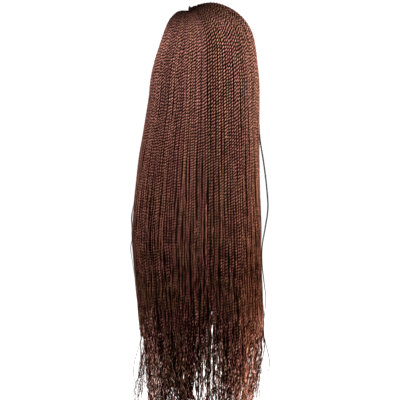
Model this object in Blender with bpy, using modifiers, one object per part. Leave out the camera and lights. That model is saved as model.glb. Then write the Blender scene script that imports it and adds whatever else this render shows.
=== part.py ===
"""A long side-parted wig of fine twists, at its real size.

Metres, +Z up. The face opening looks along -Y, and the wearer's left is +X. The origin is the
inside of the cap's crown, where the top of the head touches it.

The wig is a close cap and four hanging panels of twists. Each panel is one closed wall of locks,
fused side by side from the parting down to where they come apart into free, tapering ends. It
lies on the cap over the crown, and hangs round the neck as a hollow curtain below it.
"""

import math
import random
from collections import namedtuple

import bmesh
import bpy
from mathutils import Vector

MM = 0.001

# The cap
CAP_WALL = 1.5 * MM
CAP_HEM = 2.5 * MM
CAP_HALF_WIDTH = 78.5 * MM
CAP_FRONT = 96.5 * MM
CAP_BACK = 94.5 * MM
CAP_COLUMNS = 36
CAP_ROWS = 11
CAP_BEND = 90 * MM

CapEdge = namedtuple("CapEdge", "turn height")
# How far round from the forehead, in degrees, and the height of the cap's edge there, in mm
CAP_EDGE = (
    CapEdge(0, -52),
    CapEdge(30, -60),
    CapEdge(60, -90),
    CapEdge(80, -112),
    CapEdge(100, -106),
    CapEdge(130, -128),
    CapEdge(180, -150),
)

# The hair's outer form
HAIR_TOP = 14.5 * MM
DOME_DROP = 100 * MM
DOME_CENTRE = HAIR_TOP - DOME_DROP
SEAT_GAP = 1.2 * MM
CAP_LOWEST = 165 * MM
LEAVES_CAP_IN = 70 * MM

Section = namedtuple("Section", "drop left right front back face_gap wall")
# mm below the hair's top; mm from the middle to each side; half the face opening in degrees; mm of wall.
# Down to DOME_DROP the sides are those of the whole dome, which rounds them in towards its top.
SECTIONS = (
    Section(0, 97, 99, 106, 111, 36, 13),
    Section(25, 95.5, 98, 106, 111.5, 36, 13.5),
    Section(50, 89.5, 97, 106, 112, 36, 14),
    Section(90, 92, 95, 106, 114, 36, 17),
    Section(110, 98, 97, 105, 115, 36, 19),
    Section(145, 106, 101, 102, 116, 35, 22),
    Section(185, 110, 102, 99, 116, 34, 23),
    Section(240, 119, 102, 95, 114, 31, 20),
    Section(300, 129, 102, 92, 112, 28, 17),
    Section(375, 137, 103, 88, 109, 24, 15),
    Section(440, 141, 105, 85, 106, 21, 14),
    Section(500, 137, 106, 82, 104, 19, 13),
    Section(560, 132, 108, 80, 102, 17, 12),
    Section(640, 126, 111, 77, 98, 16, 11),
    Section(690, 124, 106, 74, 95, 15, 10),
    Section(750, 113, 92, 71, 91, 15, 9),
    Section(805, 107, 87, 69, 88, 15, 8),
)

# The parting, and the crown point behind it that the back twists fan out from, on the unit dome
PART_SIDE = 0.345
PART_FRONT = -0.868
PART_BACK = 0.30
PART_HALF_GAP = 0.030
CROWN_FAN = 0.075
# The shares of the twists that start on the left of the parting, and round the crown point
LEFT_SHARE = 0.31
FAN_SHARE = 0.38
# How far above the dome's rim the twists have turned to run straight down
TURN_DOWN = math.radians(32)

# The locks
LOCKS_PER_PANEL = 12
LOCK_BULGE = 2.6 * MM
LOCK_BULGE_AT = (0.28, 0.72)
# How high the bank stands at the parting, as a share of the hair's depth: low on the left, high on the right
LEFT_ROOT_LIFT = 0.30
RIGHT_ROOT_LIFT = 0.62
ROOT_RISE = 0.22
PANEL_GAP = 0.25 * MM
FRONT_THINNING = 0.45
FRONT_THINNING_SHARE = 0.07
DOME_STEPS = (0.0, 0.07, 0.17, 0.30, 0.44, 0.58, 0.72, 0.86)
HANG_DROPS = (100, 135, 175, 230, 300, 375, 450, 520)
END_STEPS = (0.22, 0.44, 0.64, 0.83, 1.0)
END_DROP = 800 * MM
END_SPREAD = 34 * MM
END_WIDTHS = (0.86, 0.78, 0.66, 0.50, 0.26)
END_WAVE = 1.6 * MM
SEED = 11

HAIR_GIRTH = 650 * MM

Lock = namedtuple("Lock", "index end_drop wave joined_to")

# The panels, round the head from the left of the face to the right of it
PANELS = ("twists_left_front", "twists_left_back", "twists_right_back", "twists_right_front")
LOCKS = LOCKS_PER_PANEL * len(PANELS)
HANG_FROM = len(DOME_STEPS)
ENDS_FROM = HANG_FROM + len(HANG_DROPS)
LEVELS = ENDS_FROM + len(END_STEPS)


def smooth(share):
    """0 to 1 with level ends."""
    share = min(1.0, max(0.0, share))
    return share * share * (3 - 2 * share)


def curve_through(rows, column, at):
    """The value of a column where the rows' first column is `at`, on a smooth curve through the rows."""
    keys = [row[0] for row in rows]
    values = [getattr(row, column) for row in rows]
    at = min(max(at, keys[0]), keys[-1])
    i = max(k for k in range(len(keys) - 1) if keys[k] <= at)

    def slope(k):
        low, high = max(0, k - 1), min(len(keys) - 1, k + 1)
        return (values[high] - values[low]) / (keys[high] - keys[low])

    span = keys[i + 1] - keys[i]
    t = (at - keys[i]) / span
    start, end = slope(i) * span, slope(i + 1) * span
    return (
        values[i] * (2 * t**3 - 3 * t**2 + 1)
        + start * (t**3 - 2 * t**2 + t)
        + values[i + 1] * (3 * t**2 - 2 * t**3)
        + end * (t**3 - t**2)
    )


def section(column, drop):
    """A column of SECTIONS at a drop in metres. Lengths come back in metres and the face gap in degrees."""
    value = curve_through(SECTIONS, column, drop / MM)
    return value if column == "face_gap" else value * MM


def on_section(across, along, drop):
    """The outer point at a drop, where (across, along) is a direction on the unit circle."""
    side = section("left" if across > 0 else "right", drop)
    depth = section("back" if along > 0 else "front", drop)
    return Vector((across * side, along * depth, HAIR_TOP - drop))


def direction(share, drop):
    """The unit direction from the middle to a twist that is `share` of the way round the hair."""
    gap = section("face_gap", drop)
    turn = math.radians(gap + share * (360 - 2 * gap))
    return math.sin(turn), -math.cos(turn)


def root(share):
    """Where a twist starts, as a point on the unit dome: along the parting, or round the crown point."""
    if share < LEFT_SHARE:
        across = PART_SIDE + PART_HALF_GAP
        along = PART_FRONT + (PART_BACK - PART_FRONT) * share / LEFT_SHARE
    elif share > LEFT_SHARE + FAN_SHARE:
        across = PART_SIDE - PART_HALF_GAP
        along = PART_FRONT + (PART_BACK - PART_FRONT) * (1 - share) / LEFT_SHARE
    else:
        turn = math.pi * (share - LEFT_SHARE) / FAN_SHARE
        across = PART_SIDE + PART_HALF_GAP * math.cos(turn)
        along = PART_BACK + CROWN_FAN * math.sin(turn)
    return Vector((across, along, math.sqrt(1 - across**2 - along**2)))


def on_dome(share, step):
    """The point on the unit dome a step of the way from a twist's root to the dome's rim.

    The path bends like a quadratic Bezier curve on the dome, and reaches the rim straight down.
    """
    start = root(share)
    rim = Vector((*direction(share, DOME_DROP), 0))
    above = rim * math.cos(TURN_DOWN) + Vector((0, 0, math.sin(TURN_DOWN)))
    return start.slerp(above, step).slerp(above.slerp(rim, step), step)


def cap_surface(unit):
    """The cap's outer surface, eased out by the seat gap, at a point of the unit dome."""
    depth = CAP_BACK if unit.y > 0 else CAP_FRONT
    return Vector(
        (
            unit.x * (CAP_HALF_WIDTH + SEAT_GAP),
            unit.y * (depth + SEAT_GAP),
            DOME_CENTRE + unit.z * (CAP_WALL - DOME_CENTRE + SEAT_GAP),
        )
    )


def dome_pair(share, step):
    """The outer and inner points of the hair over the crown. It rises from the parting in a round bank."""
    unit = on_dome(share, step)
    drop = DOME_DROP * (1 - unit.z)
    round_in = math.hypot(unit.x, unit.y)
    outer = on_section(unit.x / round_in, unit.y / round_in, drop)
    outer.x *= round_in
    outer.y *= round_in
    inner = cap_surface(unit)
    lowest = LEFT_ROOT_LIFT + (RIGHT_ROOT_LIFT - LEFT_ROOT_LIFT) * smooth((share - 0.40) / 0.20)
    lift = lowest + (1 - lowest) * smooth(step / ROOT_RISE)
    return inner.lerp(outer, lift), inner


def hang_pair(share, drop):
    """The outer and inner points of the hanging curtain, which thins towards the face opening."""
    across, along = direction(share, drop)
    outer = on_section(across, along, drop)
    from_front = min(share, 1 - share) / FRONT_THINNING_SHARE
    wall = section("wall", drop) * (1 - FRONT_THINNING * (1 - smooth(from_front)))
    hanging = outer - Vector((across, along, 0)) * wall
    on_cap = cap_surface(Vector((across, along, 0)))
    on_cap.z = outer.z
    return outer, on_cap.lerp(hanging, smooth((drop - CAP_LOWEST) / LEAVES_CAP_IN))


def level_drop(level, end_drop):
    """How far below the hair's top a level of the hanging part is."""
    if level < ENDS_FROM:
        return HANG_DROPS[level - HANG_FROM] * MM
    last = HANG_DROPS[-1] * MM
    return last + (end_drop - last) * END_STEPS[level - ENDS_FROM]


def pair(share, level, end_drop):
    """The outer and inner points of the hair at a level."""
    if level < HANG_FROM:
        return dome_pair(share, DOME_STEPS[level])
    return hang_pair(share, level_drop(level, end_drop))


def edge_points(share, level, end_drop):
    """The outer and inner points of the groove between two locks."""
    outer, inner = pair(share, level, end_drop)
    half = 0.5 / LOCKS
    before = pair(max(0, share - half), level, end_drop)[0]
    after = pair(min(1, share + half), level, end_drop)[0]
    depth = LOCK_BULGE * min(1.0, (after - before).length / (8 * MM))
    return outer + (inner - outer).normalized() * depth, inner


def lock_points(lock, level, end_drop, sides, wave):
    """A lock's own outline at a level: outer left edge, bulge, outer right edge, then back inside.

    sides says, for the left and right edge, how far out from the lock's middle it lies, from 0 to 1.
    """
    middle = (lock + 0.5) / LOCKS + wave
    half = 0.5 / LOCKS
    first, last = middle - sides[0] * half, middle + sides[1] * half
    left, right = edge_points(first, level, end_drop), edge_points(last, level, end_drop)
    bulge = [pair(first + (last - first) * at, level, end_drop)[0] for at in LOCK_BULGE_AT]
    edges = [left[0], *bulge, right[0], right[1], left[1]]
    centre = (left[0] + right[0] + left[1] + right[1]) / 4
    thin = sum(sides) / 2
    return [point.lerp(centre, (1 - thin) * 0.6) for point in edges]


def locks_of_panel(first_lock):
    """A panel's locks: where each ends, how it waves, and the last level where it joins the next."""
    rng = random.Random(SEED + first_lock)
    locks = []
    for index in range(first_lock, first_lock + LOCKS_PER_PANEL):
        end_drop = END_DROP - END_SPREAD * rng.random() ** 2
        wave = END_WAVE * rng.uniform(-1, 1) / HAIR_GIRTH
        joined_to = ENDS_FROM + rng.choice((-1, 0, 0, 1))
        locks.append(Lock(index, end_drop, wave, joined_to))
    locks[-1] = locks[-1]._replace(joined_to=-1)
    return locks


def lock_ring(lock, joined, level):
    """The outline of a lock at a level, where joined says if its left and right edges are shared."""
    past = level - ENDS_FROM
    width = END_WIDTHS[past] if past >= 0 else 1.0
    sides = [1.0 if is_joined else width for is_joined in joined]
    swing = lock.wave * (past + 1) / len(END_WIDTHS) * (-1) ** past if past > 0 else 0
    ring = lock_points(lock.index, level, lock.end_drop, sides, swing)
    if level < ENDS_FROM:
        # A panel's own two edges stand back from the panels beside it
        across = (ring[3] - ring[0]).normalized() * PANEL_GAP
        for is_joined, places, inward in zip(joined, ((0, 5), (3, 4)), (across, -across)):
            if not is_joined:
                for place in places:
                    ring[place] = ring[place] + inward
    return ring


def panel(name, first_lock, colour):
    """One closed wall of locks, from its roots to the free ends."""
    shape = bmesh.new()
    rings, shared = {}, {}
    left_joined_to = -1
    for lock in locks_of_panel(first_lock):
        joins = [(left_joined_to >= level, lock.joined_to >= level) for level in range(LEVELS)]
        for level, joined in enumerate(joins):
            # A joined edge's two vertices belong to both locks, and a free edge has its own
            edges = {0: lock.index - 1, 5: lock.index - 1, 3: lock.index, 4: lock.index}
            ring = []
            for place, point in enumerate(lock_ring(lock, joined, level)):
                is_shared = place in edges and joined[place in (3, 4)]
                key = (edges[place], level, place in (0, 3)) if is_shared else (lock, level, place)
                if key not in shared:
                    shared[key] = shape.verts.new(point)
                ring.append(shared[key])
            rings[level] = ring
        skin_lock(shape, rings, joins)
        left_joined_to = lock.joined_to
    bmesh.ops.recalc_face_normals(shape, faces=shape.faces)
    return new_object(name, shape, colour)


def skin_lock(shape, rings, joins):
    """The faces of one lock between its rings. A side that stays joined to the next lock has none."""
    shape.faces.new(rings[0])
    shape.faces.new(reversed(rings[LEVELS - 1]))
    for level in range(LEVELS - 1):
        upper, lower = rings[level], rings[level + 1]
        left_joined, right_joined = joins[level + 1]
        for place in range(6):
            after = (place + 1) % 6
            # Both side walls are split from their upper outer to their lower inner corner
            if place == 5 and not left_joined:
                shape.faces.new((upper[place], lower[place], upper[after]))
                shape.faces.new((lower[place], lower[after], upper[after]))
            elif place != 5 and not (place == 3 and right_joined):
                shape.faces.new((upper[place], lower[place], lower[after]))
                shape.faces.new((upper[place], lower[after], upper[after]))


def cap_column(turn):
    """The points of the cap's outer surface from its crown to its edge, at a turn from the forehead."""
    across, along = math.sin(turn), -math.cos(turn)
    depth = CAP_BACK if along > 0 else CAP_FRONT
    from_front = abs((math.degrees(turn) + 180) % 360 - 180)
    edge = curve_through(CAP_EDGE, "height", from_front) * MM
    dome_height = CAP_WALL - DOME_CENTRE
    if edge > DOME_CENTRE:
        reach = math.acos((edge - DOME_CENTRE) / dome_height) * CAP_BEND
    else:
        reach = math.pi / 2 * CAP_BEND + DOME_CENTRE - edge
    points = []
    for row in range(1, CAP_ROWS + 1):
        bent = reach * row / CAP_ROWS / CAP_BEND
        wide = math.sin(min(bent, math.pi / 2))
        height = DOME_CENTRE + dome_height * math.cos(min(bent, math.pi / 2))
        height -= max(0.0, bent - math.pi / 2) * CAP_BEND
        points.append((across * wide * CAP_HALF_WIDTH, along * wide * depth, height))
    return points


def cap(colour):
    """The close cap: a thin dome with a thicker hem round its edge, lower at the ears and the nape."""
    shape = bmesh.new()
    crown = shape.verts.new((0, 0, CAP_WALL))
    columns = [
        [shape.verts.new(point) for point in cap_column(2 * math.pi * k / CAP_COLUMNS)]
        for k in range(CAP_COLUMNS)
    ]
    for k, column in enumerate(columns):
        beside = columns[(k + 1) % CAP_COLUMNS]
        shape.faces.new((crown, column[0], beside[0]))
        for row in range(CAP_ROWS - 1):
            shape.faces.new((column[row], column[row + 1], beside[row + 1], beside[row]))
    bmesh.ops.recalc_face_normals(shape, faces=shape.faces)
    if crown.normal.z < 0 or crown.link_faces[0].normal.z < 0:
        bmesh.ops.reverse_faces(shape, faces=shape.faces)
    shape.verts.index_update()
    hem = [column[-1].index for column in columns]
    obj = new_object("wig_cap", shape, colour)
    obj.vertex_groups.new(name="hem").add(hem, 1.0, "REPLACE")
    wall = obj.modifiers.new("wall", "SOLIDIFY")
    wall.thickness = CAP_HEM
    wall.offset = -1
    wall.vertex_group = "hem"
    wall.thickness_vertex_group = CAP_WALL / CAP_HEM
    return obj


def new_object(name, shape, colour):
    """A bmesh as a named object of the wig, with its own material."""
    mesh = bpy.data.meshes.new(name)
    shape.to_mesh(mesh)
    shape.free()
    mesh.shade_smooth()
    material = bpy.data.materials.new(name)
    material.use_nodes = True
    finish = material.node_tree.nodes["Principled BSDF"]
    finish.inputs["Base Color"].default_value = colour
    finish.inputs["Roughness"].default_value = 0.55
    finish.inputs["Metallic"].default_value = 0.0
    mesh.materials.append(material)
    obj = bpy.data.objects.new(name, mesh)
    wig.objects.link(obj)
    return obj


for old in list(bpy.data.objects):
    bpy.data.objects.remove(old)
wig = bpy.data.collections.new("braid_wig")
bpy.context.scene.collection.children.link(wig)

NET_BROWN = (0.020, 0.014, 0.012, 1)
TWIST_BROWNS = ((0.110, 0.048, 0.034, 1), (0.095, 0.043, 0.031, 1))

cap(NET_BROWN)
for place, panel_name in enumerate(PANELS):
    panel(panel_name, place * LOCKS_PER_PANEL, TWIST_BROWNS[place % 2])
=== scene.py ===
import math

import bmesh
import bpy
import numpy as np
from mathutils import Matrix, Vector


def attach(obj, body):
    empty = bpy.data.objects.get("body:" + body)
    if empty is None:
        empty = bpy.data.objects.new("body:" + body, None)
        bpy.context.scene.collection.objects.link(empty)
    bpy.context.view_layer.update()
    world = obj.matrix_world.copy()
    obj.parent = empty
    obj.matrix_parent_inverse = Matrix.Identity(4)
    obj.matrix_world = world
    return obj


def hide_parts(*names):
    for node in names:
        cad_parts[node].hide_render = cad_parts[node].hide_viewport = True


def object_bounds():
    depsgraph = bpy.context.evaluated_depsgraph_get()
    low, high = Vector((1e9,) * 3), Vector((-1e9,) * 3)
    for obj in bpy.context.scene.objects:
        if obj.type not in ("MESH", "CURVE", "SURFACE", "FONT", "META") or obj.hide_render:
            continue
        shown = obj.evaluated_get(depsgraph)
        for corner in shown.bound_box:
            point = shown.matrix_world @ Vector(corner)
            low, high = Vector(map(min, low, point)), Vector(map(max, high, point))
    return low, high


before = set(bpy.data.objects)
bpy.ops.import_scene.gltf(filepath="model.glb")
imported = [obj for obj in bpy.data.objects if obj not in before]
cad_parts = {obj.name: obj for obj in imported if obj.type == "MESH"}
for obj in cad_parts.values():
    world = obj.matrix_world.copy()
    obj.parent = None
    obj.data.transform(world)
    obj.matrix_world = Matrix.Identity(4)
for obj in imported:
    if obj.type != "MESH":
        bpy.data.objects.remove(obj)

cad_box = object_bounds()
MM = 0.001


# The cap.
# A close dome of dark brown stretch net, cut low at the ears and the nape. Every twist is knotted
# to it, and it shows along the parting and from inside. It is one shaped shell of net.
CAP_HALF_WIDTH = 78.3 * MM
CAP_HALF_DEPTH = 95.3 * MM
CAP_MIDDLE = -1.0 * MM
CAP_TOP = 1.4 * MM
CAP_RIM = -85.5 * MM
CAP_NAPE = -150 * MM
CAP_NET_WALL = 1.1 * MM
# The skirt below the dome's rim, in rings
SKIRT_RINGS = 14
SKIRT_RING = 5 * MM
# The straight cuts of its edge: from the brow to the ears, and from the ears to the nape
BROW = Vector((0, -97 * MM, -53 * MM))
NAPE = Vector((0, 93 * MM, CAP_NAPE))
EAR = Vector((0, 2 * MM, -113 * MM))
HEM_HEIGHT = 8 * MM
HEM_WALL = 2.2 * MM
HEM_ROUND = 0.5 * MM
# The net's cells, and where its threads end, as a share of a cell
NET_CELL = 1.6 * MM
NET_LINE = 0.22
HEM_CELL = 0.7 * MM
HEM_LINE = 0.4
NET_THREAD = (0.050, 0.032, 0.026, 1)
NET_HOLE = (0.010, 0.007, 0.006, 1)


def edit(piece):
    """Only this piece is selected, and it is in edit mode with nothing selected."""
    bpy.ops.object.select_all(action="DESELECT")
    bpy.context.view_layer.objects.active = piece
    piece.select_set(True)
    bpy.ops.object.mode_set(mode="EDIT")
    bpy.ops.mesh.select_all(action="DESELECT")


def pick(piece, kind, test):
    """Select the vertices, edges or faces whose middle passes the test, and nothing else."""
    bpy.ops.mesh.select_mode(type={"verts": "VERT", "edges": "EDGE", "faces": "FACE"}[kind])
    bpy.ops.mesh.select_all(action="DESELECT")
    form = bmesh.from_edit_mesh(piece.data)
    for part in getattr(form, kind):
        points = [part.co] if kind == "verts" else [v.co for v in part.verts]
        part.select_set(test(sum(points, Vector()) / len(points)))
    bmesh.update_edit_mesh(piece.data)


def edge_height(point, raised=0.0):
    """How high a point stands over the cap's cut edge, after the edge is raised."""
    heights = []
    for start, end in ((BROW, EAR), (EAR, NAPE)):
        slope = (end.z - start.z) / (end.y - start.y)
        heights.append(point.z - raised - start.z - slope * (point.y - start.y))
    return min(heights)


def cut_edges(raised, clear):
    """Cut along both straight stretches of the edge, raised by so much."""
    for start, end in ((BROW, EAR), (EAR, NAPE)):
        along = end - start
        bpy.ops.mesh.select_all(action="SELECT")
        bpy.ops.mesh.bisect(
            plane_co=start + Vector((0, 0, raised)),
            plane_no=Vector((0, -along.z, along.y)).normalized(),
            clear_inner=clear,
        )


bpy.ops.object.select_all(action="DESELECT")
bpy.ops.mesh.primitive_uv_sphere_add(segments=96, ring_count=64, radius=1)
cap = bpy.context.object
cap.name = "cap_net"
edit(cap)
bpy.ops.mesh.select_all(action="SELECT")
bpy.ops.mesh.bisect(plane_co=(0, 0, -0.01), plane_no=(0, 0, 1), clear_inner=True)
pick(cap, "verts", lambda at: at.z < -0.005)
bpy.ops.mesh.delete(type="VERT")
bpy.ops.mesh.select_all(action="SELECT")
bpy.ops.transform.resize(
    value=(CAP_HALF_WIDTH, CAP_HALF_DEPTH, CAP_TOP - CAP_RIM), center_override=(0, 0, 0)
)
bpy.ops.transform.translate(value=(0, CAP_MIDDLE, CAP_RIM))
bpy.ops.mesh.select_all(action="DESELECT")
pick(cap, "edges", lambda at: at.z < CAP_RIM + 0.1 * MM)
for ring in range(SKIRT_RINGS):
    bpy.ops.mesh.extrude_edges_move(TRANSFORM_OT_translate={"value": (0, 0, -SKIRT_RING)})
cut_edges(0, True)
cut_edges(HEM_HEIGHT, False)
bpy.ops.mesh.select_all(action="SELECT")
bpy.ops.mesh.remove_doubles(threshold=0.0001)
bpy.ops.mesh.normals_make_consistent(inside=False)
pick(cap, "faces", lambda at: edge_height(at, HEM_HEIGHT) < 0)
bpy.ops.mesh.duplicate_move()
bpy.ops.mesh.separate(type="SELECTED")
bpy.ops.object.mode_set(mode="OBJECT")
hem = next(o for o in bpy.context.selected_objects if o != cap)
hem.name = "cap_hem"


def thicken(piece, wall, offset, round_by=0.0):
    """Give a shell its wall, and round its edges."""
    bpy.ops.object.select_all(action="DESELECT")
    bpy.context.view_layer.objects.active = piece
    piece.select_set(True)
    shell = piece.modifiers.new("wall", "SOLIDIFY")
    shell.thickness = wall
    shell.offset = offset
    bpy.ops.object.modifier_apply(modifier="wall")
    if round_by:
        rounding = piece.modifiers.new("round", "BEVEL")
        rounding.width = round_by
        rounding.segments = 2
        rounding.limit_method = "ANGLE"
        rounding.angle_limit = math.radians(50)
        bpy.ops.object.modifier_apply(modifier="round")
    bpy.ops.object.shade_smooth()


thicken(cap, CAP_NET_WALL, -1)
thicken(hem, HEM_WALL, -0.55, HEM_ROUND)


def feed(tree, socket, given):
    """Give a socket another node's output, or a plain value."""
    if isinstance(given, bpy.types.NodeSocket):
        tree.links.new(given, socket)
    else:
        socket.default_value = given


def fade(tree, value, start, end, low, high):
    """A value mapped from start-end to low-high, and held beyond them."""
    ramp = tree.nodes.new("ShaderNodeMapRange")
    names = ("Value", "From Min", "From Max", "To Min", "To Max")
    for name, given in zip(names, (value, start, end, low, high)):
        feed(tree, ramp.inputs[name], given)
    return ramp.outputs["Result"]


def mix(tree, kind, factor, first, second):
    """Two values, or two colours, mixed by a factor."""
    node = tree.nodes.new("ShaderNodeMix")
    node.data_type = kind
    for name, given in (("Factor", factor), ("A", first), ("B", second)):
        feed(tree, node.inputs[name], given)
    return node.outputs["Result"]


def raised(tree, pattern, strength, depth):
    """A surface that stands proud where a pattern is high."""
    bump = tree.nodes.new("ShaderNodeBump")
    bump.inputs["Strength"].default_value = strength
    bump.inputs["Distance"].default_value = depth
    feed(tree, bump.inputs["Height"], pattern)
    return bump.outputs["Normal"]


def net_material(name, thread, hole, cell, line):
    """Knitted net: brown threads round darker cells, standing proud of them."""
    material = bpy.data.materials.new(name)
    material.use_nodes = True
    tree = material.node_tree
    cloth = tree.nodes["Principled BSDF"]
    for socket, value in (("Roughness", 0.8), ("Sheen Weight", 0.25), ("Sheen Roughness", 0.5)):
        cloth.inputs[socket].default_value = value
    cells = tree.nodes.new("ShaderNodeTexVoronoi")
    cells.feature = "DISTANCE_TO_EDGE"
    cells.inputs["Scale"].default_value = 1 / cell
    cells.inputs["Randomness"].default_value = 0.35
    place = tree.nodes.new("ShaderNodeTexCoord")
    feed(tree, cells.inputs["Vector"], place.outputs["Object"])
    threads = fade(tree, cells.outputs["Distance"], 0.02, line, 1, 0)
    feed(tree, cloth.inputs["Base Color"], mix(tree, "RGBA", threads, hole, thread))
    feed(tree, cloth.inputs["Normal"], raised(tree, threads, 0.6, 0.3 * MM))
    return material


cap.data.materials.append(net_material("cap net", NET_THREAD, NET_HOLE, NET_CELL, NET_LINE))
hem.data.materials.append(net_material("hem band", NET_THREAD, NET_THREAD, HEM_CELL, HEM_LINE))
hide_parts("wig_cap")
for piece in (cap, hem):
    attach(piece, "root")


# The under twists.
# A thin inner layer of twists, knotted low on the cap, that fills the hair out from inside and
# keeps the cap and the light from showing between the outer twists. They hang loose from the cap.
HAIR_TOP = 14.5 * MM
DOME_DROP = 100 * MM
DOME_CENTRE = HAIR_TOP - DOME_DROP
# The cap's half width, its depth to the front and to the back, and its height, with the seat gap
ON_CAP = (79.7 * MM, 97.7 * MM, 95.7 * MM, 88.2 * MM)
CAP_LOWEST = 165 * MM
LEAVES_CAP_IN = 70 * MM
# The hair's form at each drop below its top: how far it reaches from the middle to each side, half
# the face opening in degrees, and how thick it hangs; all lengths in mm
FORM_COLUMNS = ("drop", "left", "right", "front", "back", "face_gap", "wall")
FORM = np.array((
    (0, 97, 99, 106, 111, 36, 13),
    (25, 95.5, 98, 106, 111.5, 36, 13.5),
    (50, 89.5, 97, 106, 112, 36, 14),
    (90, 92, 95, 106, 114, 36, 17),
    (110, 98, 97, 105, 115, 36, 19),
    (145, 106, 101, 102, 116, 35, 22),
    (185, 110, 102, 99, 116, 34, 23),
    (240, 119, 102, 95, 114, 31, 20),
    (300, 129, 102, 92, 112, 28, 17),
    (375, 137, 103, 88, 109, 24, 15),
    (440, 141, 105, 85, 106, 21, 14),
    (500, 137, 106, 82, 104, 19, 13),
    (560, 132, 108, 80, 102, 17, 12),
    (640, 126, 111, 77, 98, 16, 11),
    (690, 124, 106, 74, 95, 15, 10),
    (750, 113, 92, 71, 91, 15, 9),
    (805, 107, 87, 69, 88, 15, 8),
), dtype=float)
# The parting and the crown point on a unit dome, and the shares of the twists that start on each
PART_SIDE = 0.345
PART_FRONT = -0.868
PART_BACK = 0.30
PART_HALF_GAP = 0.022
CROWN_FAN = 0.075
LEFT_SHARE = 0.31
FAN_SHARE = 0.38
TURN_DOWN = math.radians(32)
# How high the hair stands at the parting, as a share of its depth, and the way in which it rises
LEFT_ROOT_LIFT = 0.30
RIGHT_ROOT_LIFT = 0.62
ROOT_RISE = 0.22
HAIR_GIRTH = 650 * MM
# A twist's length over the dome, near enough to lay its sways out by
DOME_RUN = 120 * MM
END_DROP = 800 * MM
# Each twist's share of the girth half way down, fuller on the right
LEFT_SPACING = 5.0 * MM
RIGHT_SPACING = 5.7 * MM
SPACED_AT = 400 * MM
# The drops where the twists loosen and where they thin to their ends, and how far each takes
LOOSENS = (150 * MM, 450 * MM)
ENDS = (550 * MM, 160 * MM)
# How far twists stray to the side, wave with their lock, and move in and out
SHORT_SWAY = 0.8 * MM
LOCK_SWAY = 2.4 * MM
IN_AND_OUT = 1.8 * MM
# Waves that a twist follows: their lengths in metres, and their shares
SWAY_WAVES = ((0.42, 0.6), (0.17, 0.4))
SHORT_WAVES = ((0.075, 0.6), (0.045, 0.4))
LOCK_WAVES = ((0.085, 0.6), (0.047, 0.4))
CRIMP_WAVES = ((0.033, 0.6), (0.021, 0.5))
DEPTH_WAVES = ((0.25, 0.6), (0.11, 0.4))
END_DEPTH_WAVES = ((0.055, 0.6), (0.03, 0.4))
# The ends draw together into locks, which wave as one, and in from the sides, where a few stay out
LOCKS = 60
GATHERED = 0.09
DRAWN_IN = (612 * MM, 60 * MM)
ENDS_LEFT = 109 * MM
ENDS_RIGHT = 77 * MM
STAY_OUT_LEFT = 0.24
STAY_OUT_RIGHT = 0.42
# Where the ends stand apart and light shows through: place across, top, and half the gap, in mm
OPEN_PLACES = (
    (12, -590, 1.0), (3, -632, 1.3), (-8, -626, 1.1), (-19, -634, 1.4), (-27, -690, 1.1),
    (84, -676, 1.2), (57, -706, 1.0), (44, -712, 1.0), (-42, -672, 1.2), (-57, -668, 1.4),
    (-80, -660, 1.0), (-97, -636, 1.1), (100, -690, 1.0),
)
OPENS_OVER = 24 * MM
# The open places' edges wave a little
GAP_WAVE = 1.5 * MM
# Twists lie at least this far under the hair's surface and from its inside, loose fibres may stand
# off it, and roots lie almost on the cap
SKIN = 1.5 * MM
OFF_HAIR = 1.0 * MM
ROOT_OFF_CAP = 0.6 * MM

chance = np.random.default_rng(7)
lock_places = (np.arange(LOCKS) + chance.uniform(0.1, 0.9, LOCKS)) / LOCKS


def curved(share, start, end, start_slope, end_slope):
    """A smooth curve from start to end, at shares of the way."""
    return (
        start * (2 * share**3 - 3 * share**2 + 1)
        + start_slope * (share**3 - 2 * share**2 + share)
        + end * (3 * share**2 - 2 * share**3)
        + end_slope * (share**3 - share**2)
    )


def form(column, drop):
    """One of FORM's columns at drops in metres, on a smooth curve through its rows."""
    keys = FORM[:, 0]
    values = FORM[:, FORM_COLUMNS.index(column)]
    at = np.clip(np.asarray(drop) / MM, keys[0], keys[-1])
    i = np.clip(np.searchsorted(keys, at, side="right") - 1, 0, len(keys) - 2)
    slopes = np.gradient(values, keys)
    span = keys[i + 1] - keys[i]
    found = curved(
        (at - keys[i]) / span, values[i], values[i + 1], slopes[i] * span, slopes[i + 1] * span
    )
    return found if column == "face_gap" else found * MM


def smooth(share):
    """A share from 0 to 1 that starts and ends gently."""
    share = np.clip(share, 0, 1)
    return share * share * (3 - 2 * share)


def eased(value, stretch):
    """From 0 where a stretch starts to 1 where it ends, given its start and length."""
    return smooth((value - stretch[0]) / stretch[1])


def to_right(share):
    """From 0 on the left of the back to 1 on the right, over its middle."""
    return smooth((share - 0.4) / 0.2)


def spacing_at(share):
    """The width that a twist has to itself half way down."""
    return LEFT_SPACING + (RIGHT_SPACING - LEFT_SPACING) * to_right(share)


def unit_rows(rows):
    """Rows of vectors, each at unit length."""
    return rows / np.maximum(np.linalg.norm(rows, axis=-1, keepdims=True), 1e-12)


def turn_between(start, end, share):
    """The unit vectors a share of the way round from start to end."""
    angle = np.arccos(np.clip((start * end).sum(-1, keepdims=True), -1, 1))
    share = share[..., None]
    full = np.maximum(np.sin(angle), 1e-9)
    return (np.sin((1 - share) * angle) * start + np.sin(share * angle) * end) / full


def direction(share, drop):
    """Which way a place round the head faces, across and along: none lies in the face opening."""
    gap = form("face_gap", drop)
    turn = np.radians(gap + share * (360 - 2 * gap))
    return np.sin(turn), -np.cos(turn)


def outer_point(across, along, drop):
    """The hair's outer surface at a drop, as far out as it reaches that way."""
    side = np.where(across > 0, form("left", drop), form("right", drop))
    depth = np.where(along > 0, form("back", drop), form("front", drop))
    return np.stack((across * side, along * depth, HAIR_TOP - drop), -1)


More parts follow.
